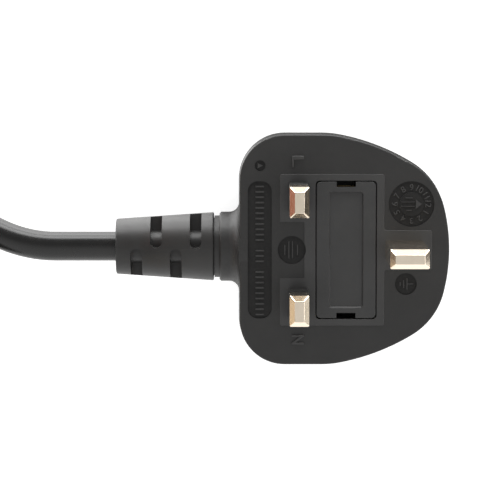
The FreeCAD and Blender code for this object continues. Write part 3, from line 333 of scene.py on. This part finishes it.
@dataclass
class FinishStore:
    """Every finish by its name, which is a slot's name in the record or a sign's finish."""

    made: dict[str, bpy.types.Material] = field(default_factory=dict)

    def plastics(self) -> list[MouldedPlastic]:
        """Lists the moulded finishes.

        Returns:
            Finishes of the plug, its lead and its fuse.
        """
        return [
            MouldedPlastic(
                "body_pvc", (0.0203, 0.0198, 0.0194), (0.0243, 0.0237, 0.0231),
                matt=0.52, gloss=0.44, grain=0.12, grain_depth=0.02,
            ),
            MouldedPlastic(
                "insert_plastic", (0.041, 0.0405, 0.04), (0.0475, 0.047, 0.0465),
                matt=0.46, gloss=0.38, grain=0.5, grain_depth=0.006,
            ),
            MouldedPlastic(
                "carrier_plastic", (0.037, 0.037, 0.037), (0.043, 0.043, 0.043),
                matt=0.44, gloss=0.36, grain=0.5, grain_depth=0.006,
            ),
            MouldedPlastic(
                "sleeve_plastic", (0.010, 0.0098, 0.0095), (0.013, 0.0127, 0.0124),
                matt=0.45, gloss=0.36, grain=0.3, grain_depth=0.008,
            ),
            MouldedPlastic(
                SignFinish.ETCHED.value, (0.018, 0.0178, 0.0176), (0.022, 0.0217, 0.0214),
                matt=0.8, gloss=0.65, grain=0.14, grain_depth=0.03, cloud=3.0, shine=0.25,
            ),
            # Raised signs: the body's plastic painted lighter as a painted highlight; the lower roughness
            # is their real gloss.
            MouldedPlastic(
                SignFinish.RAISED.value, (0.036, 0.0353, 0.0345), (0.042, 0.0412, 0.0403),
                matt=0.42, gloss=0.34, grain=0.2, grain_depth=0.01,
            ),
            MouldedPlastic(
                "relief_pvc", (0.0195, 0.019, 0.0183), (0.0235, 0.0228, 0.0219),
                matt=0.47, gloss=0.4, grain=0.16, grain_depth=0.012,
            ),
            MouldedPlastic(
                "cord_pvc", (0.0075, 0.0073, 0.0071), (0.0095, 0.0092, 0.009),
                matt=0.29, gloss=0.23, grain=0.5, grain_depth=0.003,
            ),
            MouldedPlastic(
                "tie_plastic", (0.015, 0.015, 0.0155), (0.019, 0.019, 0.0196),
                matt=0.5, gloss=0.38, grain=0.6, grain_depth=0.01,
            ),
            MouldedPlastic(
                "fuse_ceramic", (0.78, 0.75, 0.68), (0.86, 0.84, 0.78),
                matt=0.5, gloss=0.35, grain=0.25, grain_depth=0.012, cloud=1.6,
            ),
        ]

    def metals(self) -> list[RolledMetal]:
        """Lists the metals.

        Returns:
            Finishes of the pins, the clips, the fuse and the cores.
        """
        rolled = (12.0, 1.0, 1.0)
        return [
            RolledMetal(
                "plated_pin", (0.82, 0.72, 0.58), (0.9, 0.79, 0.65),
                matt=0.2, gloss=0.15, lines=0.12, along=(1.0, 1.0, 30.0), line_depth=0.0008,
            ),
            RolledMetal(
                "clip_brass", (0.72, 0.5, 0.2), (0.84, 0.63, 0.3),
                matt=0.34, gloss=0.22, lines=0.12, along=rolled,
            ),
            RolledMetal(
                "fuse_cap_metal", (0.72, 0.71, 0.69), (0.84, 0.83, 0.81),
                matt=0.28, gloss=0.16, lines=0.1, along=(1.0, 14.0, 1.0),
            ),
            RolledMetal(
                "copper", (0.72, 0.32, 0.17), (0.86, 0.45, 0.27),
                matt=0.4, gloss=0.26, lines=0.12, along=rolled,
            ),
        ]

    def insulations(self) -> list[BandedInsulation]:
        """Lists the insulations.

        Returns:
            Finishes of the three cores.
        """
        return [
            BandedInsulation("neutral_insulation", (0.02, 0.09, 0.42), (0.023, 0.1, 0.46)),
            BandedInsulation("live_insulation", (0.16, 0.055, 0.02), (0.18, 0.063, 0.023)),
            BandedInsulation("earth_insulation", (0.05, 0.26, 0.045), (0.75, 0.62, 0.03)),
        ]

    def build(self) -> None:
        """Makes every finish once."""
        for recipe in (*self.plastics(), *self.metals(), *self.insulations()):
            self.made[recipe.name] = recipe.make()
        LOG.info("finishes: %d", len(self.made))

    def dress(self, piece: bpy.types.Object, finish: str) -> bpy.types.Object:
        """Gives a piece a finish.

        Args:
            piece: New piece or carried-over node.
            finish: Name of the finish.

        Returns:
            The same piece.
        """
        if not piece.material_slots:
            piece.data.materials.append(self.made[finish])
        for place in piece.material_slots:
            place.material = self.made[finish]
        return piece


@dataclass
class CadPieces:
    """Carried-over nodes, which keep their shape and get their finish here."""

    finishes: FinishStore

    def build(self) -> None:
        """Dresses each body's nodes with the slots that the record names for them."""
        record = frame["record"]
        slots = {row["node"]: row["material_slot"] for row in record["subparts"]}
        for body in Body:
            for node in record["behaviour"]["bodies"][body.value]:
                self.finishes.dress(frame["nodes"][node], slots[node])
                LOG.info("node %s on %s: %s", node, body.value, slots[node])


@dataclass
class LeadCord:
    """Free cord from the strain relief to the hank and on to the connector.

    Sizes are in millimetres. The two routes are the listed points that the
    cord's solids follow, and the hank's turns lie between them.
    """

    finishes: FinishStore
    radius: float = 3.1
    exit_x: float = -28.85
    axis_height: float = 9.8
    length: float = 1500.0
    near_centre_x: float = -111.425
    far_centre_x: float = -170.425
    centre_y: float = -12.5
    lane_radii: tuple[float, ...] = (31.2, 24.95, 18.7)
    layer_heights: Pair = (3.725, 9.975)
    step_degrees: float = 30.0
    points_left_to_tail: int = 2
    curve_steps: int = 10
    round_steps: int = 10
    curve_order: int = 3
    lead_route: tuple[Point, ...] = (
        (-28.85, 0.0, 9.8),
        (-55.5, 0.0, 9.8),
        (-69.5, 0.0, 9.8),
        (-83.5, 6.9, 4.2),
        (-98.5, 17.6, 3.725),
        (-114.0, 18.7, 3.725),
    )
    tail_route: tuple[Point, ...] = (
        (-103.0, 18.7, 10.1),
        (-115.0, 17.9, 13.2),
        (-126.5, 14.6, 20.2),
        (-138.5, 12.45, 23.4),
        (-163.0, 12.45, 23.4),
    )

    def fold(self, centre_x: float, start: float, radius: float, height: float) -> list[Point]:
        """Lists the points round one end of the hank.

        Args:
            centre_x: Middle of the half circle along X.
            start: Direction of its first point from there, in degrees.
            radius: Radius of the cord's line.
            height: Height of the cord's line.

        Returns:
            Points whose runs touch the half circle, first and last on the straights.
        """
        reach = radius / math.cos(math.radians(self.step_degrees / 2))
        count = round((180.0 + self.step_degrees) / self.step_degrees) + 1
        points = []
        for index in range(count):
            angle = math.radians(start + index * self.step_degrees)
            x = centre_x + reach * math.cos(angle)
            points.append((x, self.centre_y + reach * math.sin(angle), height))
        return points

    def turns(self) -> list[Point]:
        """Lists the hank's points.

        Returns:
            Points that wind inwards on the lower layer and outwards on the upper.
        """
        lower, upper = self.layer_heights
        outer, middle, inner = self.lane_radii
        start_far = 90.0 - self.step_degrees / 2
        start_near = start_far - 180.0
        folds = [
            ((outer, lower), (middle, lower)),
            ((middle, lower), (inner, lower)),
            ((inner, lower), (inner, upper)),
            ((inner, upper), (middle, upper)),
            ((middle, upper), (outer, upper)),
        ]
        points = []
        for far, near in folds:
            points += self.fold(self.far_centre_x, start_far, *far)
            points += self.fold(self.near_centre_x, start_near, *near)
        return points[:-self.points_left_to_tail]

    def line(self) -> bpy.types.Curve:
        """Makes the cord's line and gives it its thickness.

        Returns:
            One smooth round curve along the lead, the hank and the tail.
        """
        curve = bpy.data.curves.new("lead_cord", "CURVE")
        curve.dimensions = "3D"
        curve.bevel_depth = self.radius * MM
        curve.bevel_resolution = self.round_steps
        curve.resolution_u = self.curve_steps
        curve.use_fill_caps = True
        points = [*self.lead_route, *self.turns(), *self.tail_route]
        spline = curve.splines.new("NURBS")
        spline.points.add(len(points) - 1)
        for target, point in zip(spline.points, points):
            target.co = (*row_point(point), 1.0)
        spline.order_u = self.curve_order
        spline.use_endpoint_u = True
        LOG.info("cord: %d route points", len(points))
        return curve

    def build(self) -> None:
        cord = self.finishes.dress(show("lead_cord", self.line()), "cord_pvc")
        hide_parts("mains_cord", "cord_hank", "cord_tail")
        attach(cord, Body.PLUG.value)


@dataclass(frozen=True)
class Bar:
    """Raised bar of a sign: its middle from the sign's middle, and its size along X and Y."""

    x: float
    y: float
    size_x: float
    size_y: float


@dataclass(frozen=True)
class ArrowHead:
    """Raised triangle that points along +X, with its tip measured from the sign's middle."""

    tip: float
    length: float
    half_width: float


@dataclass(frozen=True)
class PinLetter:
    """Raised letter beside a pin: its place along Y and how much wider it is than the font's."""

    name: str
    letter: str
    y: float
    stretch: float


@dataclass
class FaceSigns:
    """Raised signs on the plug's face: pin letters, dial, earth sign and bars.

    Sizes are in millimetres, measured from the middle of the pin pattern.
    """

    finishes: FinishStore
    face_height: float = 19.0
    sunk: float = 0.25
    rise: float = 0.16
    foot: float = 0.05
    draft: float = 0.86
    edge: float = 0.05
    edge_steps: int = 1
    curve_steps: int = 3
    ground: float = 0.03
    ground_border: float = 0.04
    quarter_steps: int = 12
    letter_rise: float = 0.42
    letter_edge: float = 0.14
    letter_size: float = 3.5
    letter_x: float = -11.18
    pin_letters: tuple[PinLetter, ...] = (
        PinLetter("live_letter", "L", 18.5, 1.6),
        PinLetter("neutral_letter", "N", -18.85, 0.85),
    )
    dial_centre: Pair = (12.55, 9.64)
    dial_numbers: int = 12
    dial_radius: float = 4.78
    dial_number_radius: float = 3.5
    dial_number_size: float = 1.8
    hub_radius: float = 2.5
    hub_arrow: ArrowHead = ArrowHead(2.15, 1.25, 1.0)
    hub_bars: tuple[Bar, ...] = (
        Bar(-0.7, -0.44, 3.2, 0.16),
        Bar(-0.7, 0.44, 3.2, 0.16),
        Bar(-0.5, 1.3, 1.7, 0.22),
        Bar(-0.5, -1.3, 1.3, 0.22),
    )
    earth_centre: Pair = (11.44, -7.15)
    earth_radius: float = 2.28
    earth_bars: tuple[Bar, ...] = (
        Bar(0.95, 0.0, 1.3, 0.24),
        Bar(0.25, 0.0, 0.26, 2.7),
        Bar(-0.47, 0.0, 0.26, 1.8),
        Bar(-1.19, 0.0, 0.26, 0.9),
    )
    disc_centre: Pair = (-12.46, 0.0)
    disc_radius: float = 2.95
    disc_bars: tuple[Bar, ...] = (
        Bar(-1.45, 0.0, 0.24, 2.2),
        Bar(-0.6, 0.0, 0.24, 3.8),
        Bar(0.15, 0.0, 0.24, 3.8),
        Bar(1.2, 0.0, 0.24, 2.4),
    )
    dot_centre: Pair = (-19.1, 17.66)
    dot_radius: float = 1.15
    dot_arrow: ArrowHead = ArrowHead(0.6, 1.1, 0.55)
    strip_centre: Pair = (-19.16, 0.0)
    strip_size: Pair = (5.04, 28.8)
    strip_corner: float = 2.1
    strip_bar_size: Pair = (1.95, 0.36)
    strip_bar_pitch: float = 1.12
    strip_bar_blocks: tuple[int, ...] = (11, 3, 9)
    strip_bar_start_y: float = 13.3

    @property
    def mark_floor(self) -> float:
        """Height of the floor of the sunk marks."""
        return self.face_height - self.sunk

    def lettering(
        self,
        words: str,
        size: float,
        turn: float,
        centre: Pair,
        base: float,
        rise: float,
        edge: float,
        stretch: float = 1.0,
    ) -> Shape:
        """Makes raised characters with sloping edges.

        Args:
            words: Characters to write.
            size: Size of the font.
            turn: Turn about the pins' direction, in degrees.
            centre: Middle of the word on the face.
            base: Height that the characters stand on.
            rise: How far they stand out.
            edge: Width of their sloping edges.
            stretch: How much wider they are than the font has them.

        Returns:
            Solid characters in the row frame.
        """
        curve = bpy.data.curves.new("letters", "FONT")
        curve.body = words
        curve.size = size * MM
        curve.align_x = "CENTER"
        curve.align_y = "CENTER"
        curve.extrude = ((rise + self.foot) / 2 - edge) * MM
        curve.bevel_depth = edge * MM
        curve.bevel_resolution = self.edge_steps
        curve.offset = -edge * MM / 2
        curve.resolution_u = self.curve_steps
        holder = show("letters", curve)
        shown = holder.evaluated_get(bpy.context.evaluated_depsgraph_get())
        mesh = bpy.data.meshes.new_from_object(shown)
        bpy.data.objects.remove(holder)
        shape = bmesh.new()
        shape.from_mesh(mesh)
        low = Vector([min(vert.co[axis] for vert in shape.verts) for axis in range(3)])
        high = Vector([max(vert.co[axis] for vert in shape.verts) for axis in range(3)])
        middle = (low + high) / 2
        middle.z = low.z
        place = Matrix.Translation(row_point((*centre, base - self.foot)))
        turned = Matrix.Rotation(math.radians(turn), 4, "Z") @ Matrix.Diagonal((stretch, 1.0, 1.0, 1.0))
        shape.transform(place @ turned @ Matrix.Translation(-middle))
        return shape

    def raised_bar(self, centre: Pair, bar: Bar, base: float) -> Shape:
        """Makes one raised bar with slightly sloping sides.

        Args:
            centre: Middle of the sign.
            bar: Place in the sign, and size.
            base: Height that the bar stands on.

        Returns:
            The bar in the row frame.
        """
        shape = bmesh.new()
        bmesh.ops.create_cube(shape, size=1.0)
        height = self.rise + self.foot
        for vert in shape.verts:
            draft = self.draft if vert.co.z > 0 else 1.0
            x = centre[0] + bar.x + vert.co.x * bar.size_x * draft
            y = centre[1] + bar.y + vert.co.y * bar.size_y * draft
            vert.co = row_point((x, y, base - self.foot + (vert.co.z + 0.5) * height))
        return shape

    def plate(self, outline: list[Pair], base: float, rise: float) -> Shape:
        """Makes a flat plate.

        Args:
            outline: Corners in turn.
            base: Height that the plate lies on.
            rise: Height of its top above that.

        Returns:
            The plate in the row frame, with its foot a little below the base.
        """
        shape = bmesh.new()
        verts = [shape.verts.new(row_point((x, y, base - self.foot))) for x, y in outline]
        bmesh.ops.remove_doubles(shape, verts=verts, dist=1e-7)
        face = shape.faces.new(shape.verts)
        raised = bmesh.ops.extrude_face_region(shape, geom=[face])["geom"]
        top = [part for part in raised if isinstance(part, bmesh.types.BMVert)]
        bmesh.ops.translate(shape, verts=top, vec=Vector((0.0, 0.0, (rise + self.foot) * MM)))
        bmesh.ops.recalc_face_normals(shape, faces=shape.faces)
        return shape

    def raised_arrow(self, centre: Pair, arrow: ArrowHead, base: float) -> Shape:
        """Makes one raised arrow head.

        Args:
            centre: Middle of the sign.
            arrow: Place in the sign, and size.
            base: Height that the arrow head stands on.

        Returns:
            The arrow head in the row frame.
        """
        tip = centre[0] + arrow.tip
        back = tip - arrow.length
        y = centre[1]
        half = arrow.half_width
        return self.plate([(back, y - half), (tip, y), (back, y + half)], base, self.rise)

    def patch(self, centre: Pair, size: Pair, corner: float, base: float) -> Shape:
        """Makes a thin plate with round corners that lines a sunk mark.

        Args:
            centre: Middle of the mark.
            size: Width and length of the mark.
            corner: Radius of the mark's corners.
            base: Height that the plate lies on.

        Returns:
            The plate, a little smaller than the mark.
        """
        radius = corner - self.ground_border
        reach = [side / 2 - corner for side in size]
        outline = []
        for quarter, (sign_x, sign_y) in enumerate(((1, 1), (-1, 1), (-1, -1), (1, -1))):
            for step in range(self.quarter_steps + 1):
                angle = math.radians(90.0 * quarter + 90.0 / self.quarter_steps * step)
                x = centre[0] + sign_x * reach[0] + radius * math.cos(angle)
                outline.append((x, centre[1] + sign_y * reach[1] + radius * math.sin(angle)))
        return self.plate(outline, base, self.ground)

    def finish_piece(self, name: str, parts: Iterable[Shape], finish: SignFinish) -> None:
        """Joins raised shapes into one piece of the plug.

        Args:
            name: Name of the piece.
            parts: Shapes in the row frame.
            finish: Finish of the piece.
        """
        whole = bmesh.new()
        for part in parts:
            mesh = bpy.data.meshes.new(name)
            part.to_mesh(mesh)
            part.free()
            whole.from_mesh(mesh)
            bpy.data.meshes.remove(mesh)
        mesh = bpy.data.meshes.new(name)
        whole.to_mesh(mesh)
        whole.free()
        piece = self.finishes.dress(show(name, mesh), finish.value)
        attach(piece, Body.PLUG.value)
        LOG.info("sign %s: %d faces", name, len(mesh.polygons))

    def grounds(self) -> None:
        """Lines the sunk marks with an etched, darker ground."""
        floor = self.mark_floor
        discs = (
            (self.dial_centre, self.dial_radius, floor),
            (self.dial_centre, self.hub_radius, self.face_height),
            (self.earth_centre, self.earth_radius, floor),
            (self.disc_centre, self.disc_radius, floor),
            (self.dot_centre, self.dot_radius, floor),
        )
        parts = []
        for centre, radius, base in discs:
            parts.append(self.patch(centre, (2 * radius, 2 * radius), radius, base))
        parts.append(self.patch(self.strip_centre, self.strip_size, self.strip_corner, floor))
        self.finish_piece("mark_grounds", parts, SignFinish.ETCHED)

    def letters(self) -> None:
        """Makes the letters beside the live and the neutral pin."""
        for row in self.pin_letters:
            shape = self.lettering(
                row.letter,
                self.letter_size,
                -90.0,
                (self.letter_x, row.y),
                self.face_height,
                self.letter_rise,
                self.letter_edge,
                row.stretch,
            )
            self.finish_piece(row.name, [shape], SignFinish.RAISED)

    def numbers(self) -> None:
        """Makes the ring of numbers on the dial."""
        parts = []
        for number in range(1, self.dial_numbers + 1):
            turn = -360.0 * number / self.dial_numbers
            place = math.radians(turn)
            centre = (
                self.dial_centre[0] + self.dial_number_radius * math.cos(place),
                self.dial_centre[1] + self.dial_number_radius * math.sin(place),
            )
            shape = self.lettering(
                str(number),
                self.dial_number_size,
                turn - 90.0,
                centre,
                self.mark_floor,
                self.rise,
                self.edge,
            )
            parts.append(shape)
        self.finish_piece("dial_numbers", parts, SignFinish.RAISED)

    def sign(
        self,
        name: str,
        centre: Pair,
        bars: Iterable[Bar],
        base: float,
        arrow: ArrowHead | None = None,
    ) -> None:
        """Makes one sign of bars, with or without an arrow head.

        Args:
            name: Name of the piece.
            centre: Middle of the sign.
            bars: Bars of the sign.
            base: Height that the sign stands on.
            arrow: Arrow head of the sign.
        """
        parts = [self.raised_arrow(centre, arrow, base)] if arrow else []
        parts += [self.raised_bar(centre, bar, base) for bar in bars]
        self.finish_piece(name, parts, SignFinish.RAISED)

    def strip_bars(self) -> list[Bar]:
        """Lists the plain bars of the long strip.

        Returns:
            Bars in blocks, from the dot towards the neutral pin's side.
        """
        place_y = self.strip_bar_start_y
        bars = []
        for count in self.strip_bar_blocks:
            for _ in range(count):
                bars.append(Bar(0.0, place_y, *self.strip_bar_size))
                place_y -= self.strip_bar_pitch
            place_y -= self.strip_bar_pitch
        return bars

    def build(self) -> None:
        """Makes all signs."""
        floor = self.mark_floor
        self.grounds()
        self.letters()
        self.numbers()
        self.sign("dial_arrow", self.dial_centre, self.hub_bars, self.face_height, self.hub_arrow)
        self.sign("earth_sign", self.earth_centre, self.earth_bars, floor)
        self.sign("disc_bars", self.disc_centre, self.disc_bars, floor)
        self.sign("dot_arrow", self.dot_centre, (), floor, self.dot_arrow)
        self.sign("strip_bars", self.strip_centre, self.strip_bars(), floor)


@dataclass(frozen=True)
class SoftLight:
    """One soft box of the studio. Lengths are in metres, power in watts."""

    name: str
    place: Point
    aim: Point
    size: Pair
    power: float

    def make(self) -> None:
        """Hangs the light and turns it to what it lights."""
        data = bpy.data.lights.new(self.name, "AREA")
        data.shape = "RECTANGLE"
        data.size, data.size_y = self.size
        data.energy = self.power
        light = show(self.name, data)
        light.location = self.place
        light.rotation_euler = (Vector(self.aim) - Vector(self.place)).to_track_quat("-Z", "Y").to_euler()
        light.visible_camera = False


@dataclass(frozen=True)
class Board:
    """Flat coloured board of the studio, which shows in reflections alone: a painted reflection, or
    painted shade where it lies on the floor.

    Lengths are in metres. The low and the high corner agree in one axis, which
    the board faces.
    """

    name: str
    colour: Colour
    low: Point
    high: Point
    paler: float = 1.2
    cloud: float = 0.01
    matt: float = 0.9

    def make(self) -> None:
        """Stands or lays the board near the plug, out of the camera's sight."""
        sheet = NodeSheet(self.name)
        pale = tuple(min(1.0, channel * self.paler) for channel in self.colour)
        sheet.clouds(self.cloud, FEW_LAYERS, self.colour, pale)
        set_sockets(sheet.shader, {"Roughness": self.matt})
        first, second = (axis for axis in range(3) if self.low[axis] != self.high[axis])
        corners = [list(self.low) for _ in range(4)]
        for corner in (1, 2):
            corners[corner][first] = self.high[first]
        for corner in (2, 3):
            corners[corner][second] = self.high[second]
        mesh = bpy.data.meshes.new(self.name)
        mesh.from_pydata(corners, [], [(0, 1, 2, 3)])
        mesh.materials.append(sheet.material)
        board = show(self.name, mesh)
        board.visible_camera = False
        board.visible_diffuse = False
        board.visible_shadow = False


@dataclass
class Studio:
    """Pale floor, soft light and the camera. Lengths are in metres."""

    camera_target: Point = (-0.0212, 0.0, 0.019)
    camera_distance: float = 0.6
    camera_tilt: float = 5.07
    camera_clip: Pair = (0.01, 20.0)
    lens: float = 206.5
    sensor: float = 36.0
    floor_half: float = 3.0
    floor_colour: Colour = (0.9, 0.9, 0.895)
    floor_paler: float = 0.01
    floor_cloud: float = 0.4
    floor_matt: float = 0.9
    far_glow: float = 0.05
    floor_glow: float = 0.66
    bright_glow: float = 5.0
    bright_from_y: Pair = (0.008, 0.03)
    bright_to_y: Pair = (0.1, 0.072)
    bright_from_middle: Pair = (0.03, 0.046)
    tent_tones: tuple[Pair, ...] = (
        (-1.0, 1.1), (-0.5, 1.0), (-0.2, 0.8), (-0.05, 0.66), (0.12, 0.42), (0.35, 0.3), (1.0, 0.3),
    )
    lights: tuple[SoftLight, ...] = (
        SoftLight("low_box", (0.0, 0.42, 0.085), (0.0, 0.0, 0.015), (1.0, 0.17), 3.6),
        SoftLight("side_box", (0.42, 0.06, 0.06), (0.0, 0.0, 0.019), (0.5, 0.12), 0.7),
    )
    # Painted reflections: boards seen only in the pins' side chamfers, dark and pale at +X, copper, umber
    # and tan at -X.
    boards: tuple[Board, ...] = (
        Board("dark_board", (0.02, 0.017, 0.012), (0.055, -0.0031, 0.0), (0.055, 0.06, 0.021)),
        Board("pale_board", (0.5, 0.49, 0.46), (0.055, -0.06, 0.0), (0.055, -0.0031, 0.021)),
        Board("brown_board", (0.03, 0.02, 0.014), (0.055, -0.005, 0.021), (0.055, 0.05, 0.037)),
        Board("copper_board", (0.235, 0.083, 0.05), (-0.045, 0.0, 0.0185), (-0.045, 0.03, 0.034)),
        Board("umber_board", (0.05, 0.028, 0.017), (-0.045, -0.006, 0.0185), (-0.045, 0.0, 0.034)),
        Board("tan_board", (0.56, 0.45, 0.32), (-0.045, -0.03, 0.0185), (-0.045, -0.006, 0.034)),
        # Painted shade: dark sheets lying on the floor beside the body, seen only in reflections, stand
        # in for the floor's shade there.
        Board("floor_shade_card", (0.1, 0.1, 0.1), (-0.028, 0.0, 0.0006), (0.024, 0.05, 0.0006)),
        Board("side_floor_shade_card", (0.02, 0.017, 0.012), (0.024, -0.0031, 0.0006), (0.055, 0.06, 0.0006)),
    )

    def camera(self) -> None:
        """Places the camera above the face, tipped a little towards the live pin's side."""
        tilt = math.radians(self.camera_tilt)
        back = Vector((0.0, math.sin(tilt), math.cos(tilt)))
        data = bpy.data.cameras.new("camera")
        data.sensor_width = self.sensor
        data.lens = self.lens
        data.clip_start, data.clip_end = self.camera_clip
        camera = show("camera", data)
        camera.location = Vector(self.camera_target) + back * self.camera_distance
        camera.rotation_euler = Euler((-tilt, 0.0, 0.0))
        bpy.context.scene.camera = camera

    def floor_light(self, sheet: NodeSheet) -> Socket:
        """Works out how strongly each place of the floor is lit from below.

        Args:
            sheet: Nodes of the floor's material.

        Returns:
            The strength, which is high in a band past the live pin's side.
        """
        place = sheet.add("ShaderNodeSeparateXYZ")
        sheet.join(sheet.place, place.inputs["Vector"])
        distance = sheet.add("ShaderNodeVectorMath")
        distance.operation = "LENGTH"
        sheet.join(sheet.place, distance.inputs["Vector"])
        glow = None
        for value, (near, far), low in (
            (place.outputs["Y"], self.bright_from_y, self.floor_glow),
            (distance.outputs["Value"], self.bright_from_middle, self.floor_glow),
            (place.outputs["Y"], self.bright_to_y, self.far_glow),
        ):
            bounds = {"From_Min": near, "From_Max": far, "To_Min": low, "To_Max": self.bright_glow}
            ramp = sheet.add("ShaderNodeMapRange", **bounds)
            sheet.join(value, ramp.inputs["Value"])
            if glow is not None:
                sheet.join(glow, ramp.inputs["To Max"])
            glow = ramp.outputs["Result"]
        return glow

    def floor(self) -> None:
        """Lays the floor."""
        sheet = NodeSheet("pale_floor")
        pale = tuple(min(1.0, channel + self.floor_paler) for channel in self.floor_colour)
        sheet.clouds(self.floor_cloud, FEW_LAYERS, self.floor_colour, pale)
        constants = {
            "Roughness": self.floor_matt,
            "Specular_IOR_Level": 0.0,
            "Emission_Color": (1.0, 1.0, 1.0, 1.0),
        }
        set_sockets(sheet.shader, constants)
        sheet.join(self.floor_light(sheet), sheet.shader.inputs["Emission Strength"])
        mesh = bpy.data.meshes.new("floor")
        half = self.floor_half
        corners = [(-half, -half, 0), (half, -half, 0), (half, half, 0), (-half, half, 0)]
        mesh.from_pydata(corners, [], [(0, 1, 2, 3)])
        mesh.materials.append(sheet.material)
        show("floor", mesh)

    def tent(self) -> None:
        """Surrounds the scene with white light, brighter from the neutral pin's side."""
        world = bpy.data.worlds.new("studio")
        world.use_nodes = True
        tree = world.node_tree
        place = tree.nodes.new("ShaderNodeSeparateXYZ")
        tree.links.new(tree.nodes.new("ShaderNodeTexCoord").outputs["Generated"], place.inputs["Vector"])
        share = tree.nodes.new("ShaderNodeMapRange")
        set_sockets(share, {"From_Min": -1.0})
        tree.links.new(place.outputs["Y"], share.inputs["Value"])
        ramp = tree.nodes.new("ShaderNodeValToRGB")
        brightest = max(tone for _, tone in self.tent_tones)
        stops = [((side + 1.0) / 2.0, (tone / brightest,) * 3) for side, tone in self.tent_tones]
        fill_ramp(ramp, stops)
        tree.links.new(share.outputs["Result"], ramp.inputs["Fac"])
        background = tree.nodes["Background"]
        tree.links.new(ramp.outputs["Color"], background.inputs["Color"])
        set_sockets(background, {"Strength": brightest})
        bpy.context.scene.world = world

    def build(self) -> None:
        """Sets up everything round the plug."""
        self.camera()
        self.floor()
        self.tent()
        for light in self.lights:
            light.make()
        for board in self.boards:
            board.make()
        bpy.context.scene.view_settings.view_transform = "Standard"
        LOG.info("studio: %d soft boxes, %d boards", len(self.lights), len(self.boards))


def main() -> None:
    """Builds the studio, the finishes, the cord and the signs in order."""
    logging.basicConfig(level=logging.INFO, format="%(name)s: %(message)s")
    Studio().build()
    finishes = FinishStore()
    finishes.build()
    CadPieces(finishes).build()
    LeadCord(finishes).build()
    FaceSigns(finishes).build()


if __name__ == "__main__":
    main()
